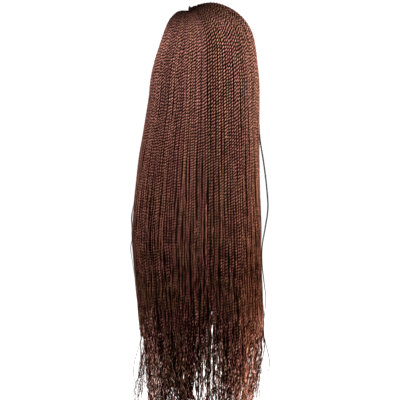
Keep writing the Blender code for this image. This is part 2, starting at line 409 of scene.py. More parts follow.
def cap_point(unit):
    """Where a point of the unit dome lies on the cap, with the seat gap outside it."""
    depth = np.where(unit[..., 1] > 0, ON_CAP[2], ON_CAP[1])
    return np.stack(
        (unit[..., 0] * ON_CAP[0], unit[..., 1] * depth, DOME_CENTRE + unit[..., 2] * ON_CAP[3]), -1
    )


def root_point(share):
    """Where twists start on the unit dome: along the parting, or round the crown point."""
    along_part = np.where(share < 0.5, share, 1 - share) / LEFT_SHARE
    side = np.where(share < 0.5, 1, -1)
    turn = math.pi * (share - LEFT_SHARE) / FAN_SHARE
    in_fan = (share > LEFT_SHARE) & (share < LEFT_SHARE + FAN_SHARE)
    across = np.where(in_fan, np.cos(turn), side) * PART_HALF_GAP + PART_SIDE
    along = np.where(
        in_fan,
        PART_BACK + CROWN_FAN * np.sin(turn),
        PART_FRONT + (PART_BACK - PART_FRONT) * np.minimum(along_part, 1),
    )
    return np.stack((across, along, np.sqrt(1 - across**2 - along**2)), -1)


def hair_form(share, way):
    """The outer and inner points of the hair.

    way runs from 0 at the parting to 1 at the dome's rim, and then on by the metres hung below it.
    """
    share = np.clip(share, 0, 1)
    step = np.clip(way, 0, 1)
    rim = np.stack((*direction(share, np.full_like(share, DOME_DROP)), np.zeros_like(share)), -1)
    above = rim * math.cos(TURN_DOWN) + np.array((0, 0, math.sin(TURN_DOWN)))
    unit = turn_between(
        turn_between(root_point(share), above, step), turn_between(above, rim, step), step
    )
    round_in = np.maximum(np.hypot(unit[..., 0], unit[..., 1]), 1e-9)
    outer = outer_point(
        unit[..., 0] / round_in, unit[..., 1] / round_in, DOME_DROP * (1 - unit[..., 2])
    )
    outer[..., :2] *= round_in[..., None]
    inner = cap_point(unit)
    lowest = LEFT_ROOT_LIFT + (RIGHT_ROOT_LIFT - LEFT_ROOT_LIFT) * to_right(share)
    lift = lowest + (1 - lowest) * smooth(step / ROOT_RISE)
    outer = inner + (outer - inner) * lift[..., None]

    drop = DOME_DROP + np.maximum(way - 1, 0)
    across, along = direction(share, drop)
    hung_outer = outer_point(across, along, drop)
    round_head = np.stack((across, along, np.zeros_like(across)), -1)
    hung_inner = hung_outer - round_head * form("wall", drop)[..., None]
    beside_cap = cap_point(round_head)
    beside_cap[..., 2] = hung_outer[..., 2]
    leaving = smooth((drop - CAP_LOWEST) / LEAVES_CAP_IN)[..., None]
    hung_inner = beside_cap + (hung_inner - beside_cap) * leaving
    hangs = (way > 1)[..., None]
    return np.where(hangs, hung_outer, outer), np.where(hangs, hung_inner, inner)


def even_places(widths, jitter):
    """Shares round the head, one for every so many twist widths of the girth, moved a little."""
    shares = np.linspace(0, 1, 2001)
    drop = np.full_like(shares, SPACED_AT)
    ring = outer_point(*direction(shares, drop), drop)
    so_far = np.cumsum(np.linalg.norm(np.diff(ring, axis=0), axis=1) / spacing_at(shares[1:]))
    count = int(so_far[-1] / widths)
    at = (np.arange(count) + 0.5 + chance.uniform(-jitter, jitter, count)) / count
    return np.interp(at * so_far[-1], so_far, shares[1:])


def wander(length, waves, rng):
    """A smooth random swing from -1 to 1 along a length, from waves of given lengths and shares."""
    swing = np.zeros_like(length)
    for wave, share in waves:
        turns = length / (wave * rng.uniform(0.8, 1.25)) + rng.random()
        swing += share * np.sin(2 * math.pi * turns)
    return swing


def twist_path(share, start, end_drop, depth, swing, crimp, rng,
               depth_from_inside=False, rise=22 * MM, parted=1.0):
    """A twist's run from its root on the cap to its end: points, outward directions and lengths.

    share is its place round the head, start its root's place on the way down from the parting,
    depth how far under the hair's surface it lies, swing how far it sways to each side, crimp how
    far its end waves, rise the length in which it comes up out of the cap, and parted how much it
    keeps out of the open places.
    """
    dome = np.linspace(start, 1, 34, endpoint=False)
    hung = np.linspace(1, 1 + end_drop - DOME_DROP, 170)
    way = np.concatenate((dome, hung))
    length = np.where(way < 1, way * DOME_RUN, DOME_RUN + way - 1)
    drop = DOME_DROP + np.maximum(way - 1, 0)
    lower, ends = eased(drop, LOOSENS), eased(drop, ENDS)

    # It sways, strays, and joins its lock at the end
    sway = swing * (0.15 + 0.5 * smooth(length / 0.2) + 0.6 * lower)
    across = sway * wander(length, SWAY_WAVES, rng)
    across += SHORT_SWAY * lower * wander(length, SHORT_WAVES, rng)
    lock = int(np.argmin(np.abs(lock_places - share)))
    across += GATHERED * ends * (lock_places[lock] - share) * HAIR_GIRTH
    across += LOCK_SWAY * ends * wander(length, LOCK_WAVES, np.random.default_rng(100 + lock))
    across += crimp * ends * wander(length, CRIMP_WAVES, rng)
    in_and_out = (0.3 + 0.7 * lower) * IN_AND_OUT * wander(length, DEPTH_WAVES, rng)
    in_and_out += crimp * ends * wander(length, END_DEPTH_WAVES, rng)

    # It comes up out of the cap, and then keeps its depth in the hair
    outer, inner = hair_form(share + across / HAIR_GIRTH, way)
    inward = inner - outer
    thick = np.linalg.norm(inward, axis=-1)
    out = -inward / thick[..., None]
    buried = 1 - smooth((way - start) * DOME_RUN / rise)
    under = thick - depth - in_and_out if depth_from_inside else depth + in_and_out
    under = np.clip(under, SKIN if parted else -OFF_HAIR, np.maximum(thick - SKIN, SKIN))
    under = under + (thick - ROOT_OFF_CAP - under) * buried
    points = outer - out * under[..., None]

    # Its end is drawn in from the side, and parts from its neighbours at the open places
    stay_out = STAY_OUT_LEFT if share < 0.5 else STAY_OUT_RIGHT
    stays_out = not depth_from_inside and rng.random() < stay_out
    drawn_in = (rng.uniform(-0.2, 0.5) if stays_out else 1) * eased(drop, DRAWN_IN)
    points[:, 0] -= drawn_in * np.maximum(points[:, 0] - ENDS_LEFT, 0)
    points[:, 0] -= drawn_in * np.minimum(points[:, 0] + ENDS_RIGHT, 0)
    for place, top, half in np.array(OPEN_PLACES) * MM:
        middle = place + GAP_WAVE * np.sin(points[:, 2] / (6 * MM) + place / (3 * MM))
        side = 1 if np.interp(-top, -points[:, 2], points[:, 0] - middle) > 0 else -1
        away = np.maximum(side * (points[:, 0] - middle), 0)
        opened = parted * smooth((top - points[:, 2]) / OPENS_OVER)
        points[:, 0] += side * opened * half * np.exp(-((away / (4 * half)) ** 2))
    return points, out, length


def rope(points, out, radius, pitch, outline, rings_a_turn, rng, from_parting=0.0):
    """A two-strand twist along a path: rings of points that turn with it, closed at both ends.

    Gives the vertices, the triangles, each corner's place (round the twist, metres from the parting
    along it) and how far outward each vertex lies, as a share of the radius.
    """
    steps = np.linalg.norm(np.diff(points, axis=0), axis=1)
    run = np.concatenate(((0,), np.cumsum(steps)))
    middle_pitch = (pitch[1:] + pitch[:-1]) / 2
    turns = np.concatenate(((0,), np.cumsum(steps / middle_pitch)))
    count = int(turns[-1] * rings_a_turn)
    at_turn = np.arange(count) / rings_a_turn
    at = np.interp(at_turn, turns, run)

    def along(values):
        if values.ndim == 1:
            return np.interp(at, run, values)
        return np.stack([np.interp(at, run, values[:, k]) for k in range(3)], -1)

    centre, radius, out = along(points), along(radius), along(out)
    ahead = unit_rows(np.gradient(centre, axis=0))
    side = unit_rows(np.cross(ahead, out))
    out = np.cross(side, ahead)
    angle = np.radians(outline[:, 0])[None, :] - 2 * math.pi * (at_turn + rng.random())[:, None]
    reach = radius[:, None] * outline[:, 1][None, :]
    ring = (
        centre[:, None, :]
        + (np.cos(angle) * reach)[..., None] * side[:, None, :]
        + (np.sin(angle) * reach)[..., None] * out[:, None, :]
    )
    n = len(outline)
    vertices = np.concatenate((ring.reshape(-1, 3), centre[:1] - ahead[:1] * 0.4 * MM,
                               centre[-1:] + ahead[-1:] * 1.5 * MM))
    k = np.arange(n)
    nxt = (k + 1) % n
    upper = (np.arange(count - 1) * n)[:, None]
    a, b = upper + k, upper + nxt
    c, d = a + n, b + n
    walls = np.stack((np.stack((a, d, b), -1), np.stack((a, c, d), -1)), 2).reshape(-1, 3)
    first, last = count * n, count * n + 1
    lid = np.stack((np.full(n, first), k, nxt), -1)
    tip = np.stack((np.full(n, last), (count - 1) * n + nxt, (count - 1) * n + k), -1)
    triangles = np.concatenate((walls, lid, tip))

    around = np.append(outline[:, 0], outline[0, 0] + 360) / 360
    u, u_next = np.broadcast_to(around[:-1], a.shape), np.broadcast_to(around[1:], a.shape)
    at = at + from_parting
    v = np.broadcast_to(at[:-1, None], a.shape)
    v_next = np.broadcast_to(at[1:, None], a.shape)
    here, across = np.stack((u, v), -1), np.stack((u_next, v_next), -1)
    one = np.stack((here, across, np.stack((u_next, v), -1)), -2)
    two = np.stack((here, np.stack((u, v_next), -1), across), -2)
    places = np.stack((one, two), 2).reshape(-1, 3, 2)
    at_root = np.stack([np.stack((around[j], np.full(n, at[0])), -1) for j in (k, k, k + 1)], 1)
    at_end = np.stack([np.stack((around[j], np.full(n, at[-1])), -1) for j in (k, k + 1, k)], 1)
    places = np.concatenate((places, at_root, at_end))
    outward = np.append((np.sin(angle) * outline[:, 1]).ravel(), (0.4, 0.4))
    return vertices, triangles, places, outward


def joined_piece(name, ropes, tints, material):
    """Many twists as one mesh, each with its tint: how light, how golden, and its own number."""
    mesh = bpy.data.meshes.new(name)
    offsets = np.cumsum([0] + [len(each[0]) for each in ropes[:-1]])
    vertices = np.concatenate([each[0] for each in ropes])
    triangles = np.concatenate([each[1] + offset for each, offset in zip(ropes, offsets)])
    mesh.vertices.add(len(vertices))
    mesh.vertices.foreach_set("co", vertices.ravel())
    mesh.loops.add(triangles.size)
    mesh.loops.foreach_set("vertex_index", triangles.ravel().astype(np.int32))
    mesh.polygons.add(len(triangles))
    mesh.polygons.foreach_set("loop_start", np.arange(0, triangles.size, 3, dtype=np.int32))
    mesh.update(calc_edges=True)
    places = mesh.uv_layers.new(name="along")
    places.data.foreach_set("uv", np.concatenate([each[2] for each in ropes]).ravel())
    colours = np.concatenate([
        np.concatenate((np.tile(tint, (len(each[0]), 1)), each[3][:, None]), 1)
        for each, tint in zip(ropes, tints)
    ])
    tint = mesh.color_attributes.new("tint", "FLOAT_COLOR", "POINT")
    tint.data.foreach_set("color", colours.ravel())
    mesh.shade_smooth()
    mesh.materials.append(material)
    piece = bpy.data.objects.new(name, mesh)
    bpy.context.scene.collection.objects.link(piece)
    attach(piece, "root")
    return piece


# Painted light and shade by height in metres, from the hair's top down to its ends: shaded at the
# top, where the hair faces up, lightest just below it, darker down the hair, a little lighter at
# the ends
LIGHT_AND_SHADE_BY_HEIGHT = (
    (0.014, 0.20), (-0.015, 0.33), (-0.05, 0.59), (-0.10, 0.63), (-0.25, 0.51),
    (-0.40, 0.38), (-0.50, 0.205), (-0.60, 0.12), (-0.68, 0.155), (-0.80, 0.24),
)
WINE = (0.590, 0.222, 0.195, 1)
GOLD = (0.640, 0.285, 0.165, 1)
DEEP = (0.530, 0.150, 0.110, 1)
DULL = (0.500, 0.195, 0.100, 1)
RUST = (0.640, 0.185, 0.080, 1)
# A pale colour painted where white light comes through the thin ends
LIGHT_THROUGH_PAINT = (0.840, 0.620, 0.560, 1)
FIBRE_GLINT = (1.0, 0.70, 0.58, 1)
# The light that is left in the groove between the strands, at a twist's sides and at its root
GROOVE_SHADE = 0.10
SIDE_SHADE = 0.07
LOW_SIDE_SHADE = 0.10
ROOT_SHADE = 0.07
INSIDE_LIGHT = 3.0
# Heights in metres between which each change comes on, down the hair
RIGHT_CLOSES = (-0.05, -0.12)
DEEPENS = (-0.16, -0.55)
STREAKED = (-0.26, -0.52)
SIDES_SHADED = (-0.26, -0.46)
COMES_UNDONE = (-0.30, -0.60)
SPREADS = (-0.50, -0.66)
FRAYS = (-0.55, -0.69)
# Places across in metres between which each change comes on, to the left and to the right
LEFT_PAINTED_LIGHT_THROUGH = (0.08, 0.122)
RIGHT_PAINTED_LIGHT_THROUGH = (-0.03, -0.09)
RIGHT_CLOSE = (-0.045, -0.075)
RUSTS = (-0.045, -0.085)
# The thin ends' width, and where they are thin and painted with light through them, as shares of
# half of it from their middle
THIN_ENDS = (-0.105, 0.095)
THIN_MIDDLE = (0.20, 0.34)
THIN_SIDES = (0.70, 0.90)
# How often noise changes round a twist, along each metre of it, and from twist to twist
FIBRE_GRAIN = (26, 70, 90)
TURN_GRAIN = (0, 150, 170)
STREAK_GRAIN = (0, 62, 230)
PATCH_GRAIN = 24


def maths(tree, operation, first, *others):
    """A sum on one value, or on several in turn, such as their product or the largest of them."""
    for other in others or (None,):
        node = tree.nodes.new("ShaderNodeMath")
        node.operation = operation
        feed(tree, node.inputs[0], first)
        if other is not None:
            feed(tree, node.inputs[1], other)
        first = node.outputs["Value"]
    return first


def noise(tree, place, scale, detail):
    """Soft noise at a place."""
    texture = tree.nodes.new("ShaderNodeTexNoise")
    texture.inputs["Scale"].default_value = scale
    texture.inputs["Detail"].default_value = detail
    feed(tree, texture.inputs["Vector"], place)
    return texture.outputs["Fac"]


def twist_noise(tree, laid, grain, detail):
    """Noise laid along the twists: grain says how often it changes each way."""
    place = tree.nodes.new("ShaderNodeCombineXYZ")
    for name, value, changes in zip("XYZ", laid, grain):
        if changes:
            feed(tree, place.inputs[name], fade(tree, value, 0, 1, 0, changes))
    return noise(tree, place.outputs["Vector"], 1.0, detail)


def split(tree, vector):
    """A vector's parts."""
    parts = tree.nodes.new("ShaderNodeSeparateXYZ")
    feed(tree, parts.inputs["Vector"], vector)
    return parts.outputs["X"], parts.outputs["Y"], parts.outputs["Z"]


def hair_material():
    """Synthetic fibre laid along each strand, with painted shade at the root, in the groove, at the
    twists' sides and down the hair, and painted light at the thin ends.
    """
    material = bpy.data.materials.new("twisted hair")
    material.use_nodes = True
    tree = material.node_tree
    fibre = tree.nodes["Principled BSDF"]
    fibre.inputs["Roughness"].default_value = 0.6
    fibre.inputs["Specular Tint"].default_value = FIBRE_GLINT

    # What each twist is given: how light and how golden it is, partly as painted light and sheen,
    # its number, and which way is out
    tint = tree.nodes.new("ShaderNodeAttribute")
    tint.attribute_name = "tint"
    own = tree.nodes.new("ShaderNodeSeparateColor")
    feed(tree, own.inputs["Color"], tint.outputs["Color"])
    own_light, gold_tone_and_sheen, number = (own.outputs[name] for name in ("Red", "Green", "Blue"))
    outward = tint.outputs["Alpha"]
    place = tree.nodes.new("ShaderNodeTexCoord").outputs["Object"]
    across, _, up = split(tree, place)
    along = tree.nodes.new("ShaderNodeUVMap")
    along.uv_map = "along"
    around, run, _ = split(tree, along.outputs["UV"])
    low_down = fade(tree, up, *SPREADS, 0, 1)

    # Painted light and shade down the hair, by height
    painted_light_by_height = tree.nodes.new("ShaderNodeFloatCurve")
    curve = painted_light_by_height.mapping.curves[0]
    top, low = LIGHT_AND_SHADE_BY_HEIGHT[0][0], LIGHT_AND_SHADE_BY_HEIGHT[-1][0]
    spots = sorted(((z - low) / (top - low), light) for z, light in LIGHT_AND_SHADE_BY_HEIGHT)
    curve.points[0].location = spots[0]
    curve.points[1].location = spots[-1]
    for spot in spots[1:-1]:
        curve.points.new(*spot)
    painted_light_by_height.mapping.update()
    feed(tree, painted_light_by_height.inputs["Value"], fade(tree, up, low, top, 0, 1))

    # Fibres run along the strands. Each half turn catches the light a little more or less than the
    # next, and lower down the light runs along the strands in longer streaks instead
    laid = (around, run, number)
    fibres = twist_noise(tree, laid, FIBRE_GRAIN, 3)
    turns = twist_noise(tree, laid, TURN_GRAIN, 1)
    streaks = twist_noise(tree, laid, STREAK_GRAIN, 2)
    catches = mix(
        tree, "FLOAT", fade(tree, up, *STREAKED, 0, 0.6),
        fade(tree, turns, 0.3, 0.7, 0.5, 1.45),
        fade(tree, streaks, 0.38, 0.70, 0.1, 3.4),
    )

    # The spread ends at both sides are painted lighter, as more light comes through them, most on
    # the right, and the thin ends differ more from each other
    spread_ends_painted_light = maths(
        tree, "MULTIPLY", fade(tree, across, *LEFT_PAINTED_LIGHT_THROUGH, 1, 2.6),
        fade(tree, across, *RIGHT_PAINTED_LIGHT_THROUGH, 1, 3.4),
    )
    spread = mix(tree, "FLOAT", low_down, 1, spread_ends_painted_light)
    differing = mix(tree, "FLOAT", low_down, 1, fade(tree, number, 0, 1, 0.45, 1.7))

    # The thin, loosened ends are painted with white light let through in streaks, in the middle and
    # at both sides
    from_middle = maths(tree, "ABSOLUTE", fade(tree, across, *THIN_ENDS, -1, 1))
    thin = maths(
        tree, "MAXIMUM", fade(tree, from_middle, *THIN_MIDDLE, 1, 0.3),
        fade(tree, from_middle, *THIN_SIDES, 0, 0.9),
    )
    painted_light_through = maths(
        tree, "MULTIPLY", fade(tree, up, *FRAYS, 0, 0.85),
        fade(tree, streaks, 0.50, 0.62, 0, 1), thin,
    )

    # Lower down the brown deepens, in patches of wine red and dull brown, with rust on the right,
    # and the thin ends are painted pale where white light comes through them
    patches = fade(tree, noise(tree, place, PATCH_GRAIN, 1), 0.42, 0.60, 0, 1)
    patchy = mix(tree, "RGBA", patches, DEEP, DULL)
    rusty = mix(tree, "RGBA", fade(tree, across, *RUSTS, 0, 0.8), patchy, RUST)
    brown = mix(tree, "RGBA", gold_tone_and_sheen, WINE, GOLD)
    deeper = mix(tree, "RGBA", fade(tree, up, *DEEPENS, 0, 0.85), brown, rusty)
    colour = mix(tree, "RGBA", painted_light_through, deeper, LIGHT_THROUGH_PAINT)

    # The two strands' crests lie opposite each other, with the grooves a quarter way round between.
    # The strands of some twists lie closer, with shallow grooves, so do those hanging on the right,
    # and the ends come undone
    crest = maths(tree, "COSINE", maths(tree, "MULTIPLY", around, 4 * math.pi))
    on_right = maths(
        tree, "MULTIPLY", fade(tree, across, *RIGHT_CLOSE, 0, 0.5),
        fade(tree, up, *RIGHT_CLOSES, 0, 1),
    )
    groove_light = maths(
        tree, "MAXIMUM", fade(tree, number, 0.65, 1.0, GROOVE_SHADE, 0.40), on_right,
        fade(tree, up, *COMES_UNDONE, 0, 0.15),
    )
    # Painted shade in the grooves between the strands, less of it where the strands lie closer and
    # lower down
    groove = fade(tree, crest, 0.75, -0.15, 1, groove_light)

    # Each twist's sides are in shade, more of them lower down, and the inside of the hair is lit
    # through the face
    crown = fade(
        tree, maths(tree, "ABSOLUTE", outward),
        fade(tree, up, *SIDES_SHADED, 0.40, 0.56), 0.97,
        fade(tree, up, *SIDES_SHADED, SIDE_SHADE, LOW_SIDE_SHADE), 1,
    )
    inside = fade(tree, outward, -0.3, -0.8, 1, INSIDE_LIGHT)

    light = maths(
        tree, "MULTIPLY",
        own_light,
        painted_light_by_height.outputs["Value"],
        spread,
        groove,
        crown,
        differing,
        inside,
        fade(tree, run, 0.012, 0.085, ROOT_SHADE, 1),
        fade(tree, fibres, 0.3, 0.7, 0.65, 1.35),
        catches,
        # Painted light through the thin ends, up to 3.8 times as bright
        fade(tree, painted_light_through, 0, 0.8, 1, 3.8),
    )
    shaded = tree.nodes.new("ShaderNodeVectorMath")
    shaded.operation = "SCALE"
    feed(tree, shaded.inputs[0], colour)
    feed(tree, shaded.inputs["Scale"], light)
    feed(tree, fibre.inputs["Base Color"], shaded.outputs["Vector"])
    feed(tree, fibre.inputs["Specular IOR Level"], fade(tree, light, 0.25, 1.3, 0.0, 0.25))
    feed(tree, fibre.inputs["Normal"], raised(tree, fibres, 0.35, 0.25 * MM))
    return material


hair = hair_material()
# Outlines across two strands and across one: angle in degrees, and reach as a share of the radius
SPARE_OUTLINE = np.array(((0, 1.0), (90, 0.50), (180, 1.0), (270, 0.50)))
SINGLE_OUTLINE = np.array(((0, 1.0), (120, 1.0), (240, 1.0)))
# How much lighter the twists at each side are painted, as lit more than those in the middle of the
# back
LEFT_SIDE_PAINTED_LIGHT = 0.22
RIGHT_SIDE_PAINTED_LIGHT = 0.34


def tint_of(rng, share, light, spread):
    """How light a twist is, how golden, and its own number, by its place round the head: painted
    lighter towards the sides as more lit, and more golden to the right as warm sheen, each also at
    random.
    """
    # Golden at random, and more so towards the right as painted warm sheen
    gold_tone_and_sheen = np.clip(rng.normal(0.25 + 0.45 * smooth(share * 1.6 - 0.3), 0.28), 0, 1)
    # The twists towards each side are painted lighter, as lit more than the middle of the back
    lighter = LEFT_SIDE_PAINTED_LIGHT if share < 0.5 else RIGHT_SIDE_PAINTED_LIGHT
    side_painted_light = 1 + lighter * smooth(abs(share - 0.5) / 0.2)
    return (light * side_painted_light * math.exp(rng.normal(0, spread)), gold_tone_and_sheen, rng.random())


UNDER_RADIUS = 2.6 * MM
UNDER_PITCH = 14 * MM
UNDER_RUN = 60 * MM
INNER_RADIUS = 4.3 * MM
INNER_PITCH = 90 * MM
# How far in the thin twists and the plain strands lie, how far they sway, and how their ends wave
UNDER_HANG = (5.2 * MM, 3.0 * MM, 2.0 * MM)
INNER_HANG = (4.2 * MM, 0.5 * MM, 0.6 * MM)
# Metres below the top where they start to thin, and the length it takes
UNDER_THINS_FROM = 0.56
THINS_OVER = 0.20
# How much of their radius they lose to the ends, and where the plain ends stay close, in mm across
UNDER_THINS = 0.60
INNER_THINS = 0.70
CLOSE_THINS = 0.30
CLOSE_PLACES = ((24, 100), (-78, -36))
under_places = [(share, False) for share in even_places(2.9, 0.3)]
under_places += [(share, True) for share in even_places(0.95, 0.06)]
under_ropes, under_tints = [], []
for share, plain in under_places:
    end_drop = END_DROP - chance.uniform(15, 75) * MM
    start = chance.uniform(0.45, 0.7)
    depth, swing, crimp = INNER_HANG if plain else UNDER_HANG
    points, out, _ = twist_path(
        share, start, end_drop, depth, swing, crimp, chance, depth_from_inside=True
    )
    if plain:
        stays_close = any(low < points[-1, 0] / MM < high for low, high in CLOSE_PLACES)
        thins = CLOSE_THINS if stays_close else INNER_THINS
        full, turn, outline, rings = INNER_RADIUS, INNER_PITCH, SINGLE_OUTLINE, 6
    else:
        thins = UNDER_THINS
        full, turn, outline, rings = UNDER_RADIUS, UNDER_PITCH, SPARE_OUTLINE, 4
    below = HAIR_TOP - points[:, 2] - UNDER_THINS_FROM
    radius = full * (1 - thins * smooth(below / THINS_OVER))
    pitch = np.full(len(points), turn)
    under_ropes.append(rope(points, out, radius, pitch, outline, rings, chance, UNDER_RUN))
    # The thin twists are painted darker, and the plain strands darker still, as shade deep inside
    # the hair
    under_tints.append(tint_of(chance, share, 0.12 if plain else 0.3, 0.15))
joined_piece("under_twists", under_ropes, under_tints, hair)


# The four panels of twists.
# Each twist is two strands of fibre turned round each other, 4 to 5 mm thick, knotted to the cap
# beside the parting or round the crown point, and hangs free to a thin waving end.
TWIST_PITCH = 10.8 * MM
TWIST_DEPTH = 2.6 * MM
TWIST_RISE = 7 * MM
TWIST_SWAY = 1.6 * MM
TWIST_CRIMP = 2.0 * MM
UNEVEN_ENDS = 60 * MM
# A twist's radius, as a share of the width that it has to itself
TWIST_RADIUS = 0.42
# How much of its radius a twist has at its root and loses to its end, and metres below the top
# where it starts to thin
ROOT_RADIUS = 0.70
TWIST_THINS = 0.58
TWIST_THINS_FROM = (0.50, 0.60)
# How much twists differ from each other, and along themselves, in waves as above
RADIUS_RANGE = (0.92, 1.08)
PITCH_RANGE = (0.88, 1.14)
RADIUS_WAVES = ((0.06, 0.5), (0.024, 0.5))
PITCH_WAVES = ((0.11, 0.5), (0.05, 0.5))
ROPE_OUTLINE = np.array((
    (-30, 0.98), (30, 0.98), (90, 0.34), (150, 0.98), (210, 0.98), (270, 0.34),
))
# The rows round the crown point that twists start in, on the way down from it
CROWN_ROWS = (0.0, 0.05, 0.10, 0.16)
PANELS = ("twists_left_front", "twists_left_back", "twists_right_back", "twists_right_front")


def hanging_twist(share, start, depth, pitch, outline, rings_a_turn, rng):
    """One full twist: thinner at its root, full over the back, and thinning to its end."""
    end_drop = END_DROP - (rng.random() ** 2) * UNEVEN_ENDS
    parted = rng.uniform(0.3, 1.2)
    points, out, length = twist_path(
        share, start, end_drop, depth, TWIST_SWAY, TWIST_CRIMP, rng, rise=TWIST_RISE, parted=parted
    )
    run = np.concatenate(((0,), np.cumsum(np.linalg.norm(np.diff(points, axis=0), axis=1))))
    thinning = smooth((HAIR_TOP - points[:, 2] - rng.uniform(*TWIST_THINS_FROM)) / THINS_OVER)
    radius = TWIST_RADIUS * spacing_at(share) * rng.uniform(*RADIUS_RANGE)
    radius = radius * (ROOT_RADIUS + (1 - ROOT_RADIUS) * smooth(run / 0.06))
    radius = radius * (1 - TWIST_THINS * thinning)
    radius *= 1 + 0.05 * wander(length, RADIUS_WAVES, rng)
    # Its turns are close at the root, longer over the dome, closer down the back, loose at the end
    pitch = pitch * rng.uniform(*PITCH_RANGE) * (0.90 + 0.22 * smooth(run / 0.07))
    pitch = pitch * (1 - 0.14 * smooth((length - 150 * MM) / (170 * MM)))
    pitch = pitch * (1 + 0.15 * wander(length, PITCH_WAVES, rng))
    pitch = pitch * (1 + 0.9 * thinning)
    return rope(points, out, radius, pitch, outline, rings_a_turn, rng, start * DOME_RUN)


top_places = even_places(1.0, 0.10)
for place, node in enumerate(PANELS):
    ropes, tints = [], []
    for share in top_places[(top_places * 4).astype(int) == place]:
        in_fan = LEFT_SHARE < share < LEFT_SHARE + FAN_SHARE
        start = chance.choice(CROWN_ROWS) if in_fan else chance.uniform(0.0, 0.02)
        ropes.append(
            hanging_twist(share, start, TWIST_DEPTH, TWIST_PITCH, ROPE_OUTLINE, 5, chance)
        )
        tints.append(tint_of(chance, share, 1.0, 0.13))
    panel = joined_piece(node + "_ropes", ropes, tints, hair)
    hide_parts(node)


# The second row of twists.
# The same twists knotted in a row further out from the parting. They lie behind the gaps of the top
# ones, and show between them painted darker, as shade between the top twists.
SECOND_PITCH = 14 * MM
SECOND_DEPTH = 5.6 * MM
second_ropes, second_tints = [], []
for share in even_places(1.6, 0.15):
    start = chance.uniform(0.04, 0.30)
    second_ropes.append(
        hanging_twist(share, start, SECOND_DEPTH, SECOND_PITCH, SPARE_OUTLINE, 4, chance)
    )
    # Painted darker, as shade between the top twists
    second_tints.append(tint_of(chance, share, 0.28, 0.15))
joined_piece("second_twists", second_ropes, second_tints, hair)


# The loose fibres.
# From half way down fine wavy fibres of the twists have worked loose. They lie over the twists and
# hang in the gaps between the ends. They are the same fibre, left free, painted lighter as fibres
# that catch the light.
LOOSE_FIBRES = 480
LOOSE_RADIUS = 0.36 * MM
LOOSE_PITCH = 40 * MM
LOOSE_SWAY = 5 * MM
LOOSE_CRIMP = 2.6 * MM
# They lie from just outside the hair to this deep in it, in mm
LOOSE_DEPTHS = (-0.5, 5)
# How far along their twist fine strands are taken to lie, past the dark of the root
FINE_RUN = 100 * MM
# The drop from which fibres come loose, and the length over which more do, in mm
LOOSE_FROM = 300
LOOSE_OVER = 330
loose_ropes, loose_tints = [], []
for share in (np.arange(LOOSE_FIBRES) + chance.uniform(0, 1, LOOSE_FIBRES)) / LOOSE_FIBRES:
    end_drop = END_DROP - chance.uniform(0, 40) * MM
    depth = chance.uniform(*LOOSE_DEPTHS) * MM
    points, out, _ = twist_path(
        share, 0.3, end_drop, depth, LOOSE_SWAY, LOOSE_CRIMP, chance, parted=0
    )
    loose = points[:, 2] < HAIR_TOP - (LOOSE_FROM + LOOSE_OVER * chance.random() ** 0.6) * MM
    points, out = points[loose], out[loose]
    radius, pitch = np.full(len(points), LOOSE_RADIUS), np.full(len(points), LOOSE_PITCH)
    loose_ropes.append(rope(points, out, radius, pitch, SINGLE_OUTLINE, 8, chance, FINE_RUN))
    # Painted three times as light as the top twists, as fibres that catch the light
    loose_tints.append(tint_of(chance, share, 3.0, 0.35))
joined_piece("loose_fibres", loose_ropes, loose_tints, hair)


# The stray ends.
# A thin twist has worked loose and waves down the right side, curled wisps and single fibres stand
# off the ends at both sides, and a knot end and short roots stand up in the parting. They are the
# same fibre, left on their own.
STRAY_TWIST = np.array((
    (-100, 8, -215), (-102, 10, -246), (-109, 12, -290), (-114.5, 13, -335), (-117, 13, -375),
    (-112, 13, -412), (-106.5, 12, -445), (-106, 12, -478), (-110, 12, -515), (-113.5, 11, -548),
    (-110, 10, -590), (-106, 8, -625),
)) * MM
LEFT_WISP = np.array((
    (121, 6, -610), (128, 8, -640), (136, 9, -668), (138, 8, -695), (133, 6, -716), (136, 5, -738),
    (131, 4, -757),
)) * MM
LEFT_CURL = np.array((
    (130, -8, -350), (138, -6, -372), (142, -4, -398), (139, -3, -424), (143.5, -4, -452),
    (140, -5, -480), (136, -6, -510),
)) * MM
RIGHT_CURL = np.array((
    (-108, 10, -610), (-114, 11, -634), (-119, 12, -655), (-121, 12, -672), (-118, 12, -688),
    (-113, 11, -700),
)) * MM
# One strand lies across the others above the ends
CROSSING = np.array((
    (52, 100, -515), (54, 99, -527), (58, 98, -540), (62, 96, -553), (63, 95, -562),
)) * MM
# A short knot end that stands up in the parting, and the roots round it
KNOT_END = np.array(((33, 27, -9), (32, 26, -2), (31.2, 25, 3), (31.6, 25, 6.5))) * MM
ROOT_STUBS = 64
STUB_RADIUS = 1.2 * MM
# Where they stand, across, along and up, in mm
STUBS_ACROSS = (16, 33)
STUBS_ALONG = (20, 30)
STUB_FOOT = -8
# How high the roots stand at places across the parting, in mm
STUB_PLACES = (16, 23, 26, 30, 31.5, 33)
STUB_TOPS = (8.5, 6, 4, 4.5, 6.5, 4)
# Single fibres at the ends: where they leave the hair and where they end, in mm
LEFT_FIBRES = ((120, -632), (131, -744))
RIGHT_FIBRES = ((-100, -632), (-94, -744))
FIBRES = 26
FIBRE_RADIUS = 0.42 * MM
STRAY_PITCH = 8 * MM
FIBRE_PITCH = 20 * MM


def smooth_path(spots, count):
    """Points evenly along a smooth curve through the given spots."""
    keys = np.arange(len(spots), dtype=float)
    at = np.linspace(0, len(spots) - 1, count)
    i = np.clip(at.astype(int), 0, len(spots) - 2)
    slopes = np.gradient(spots, keys, axis=0)
    return curved((at - i)[:, None], spots[i], spots[i + 1], slopes[i], slopes[i + 1])


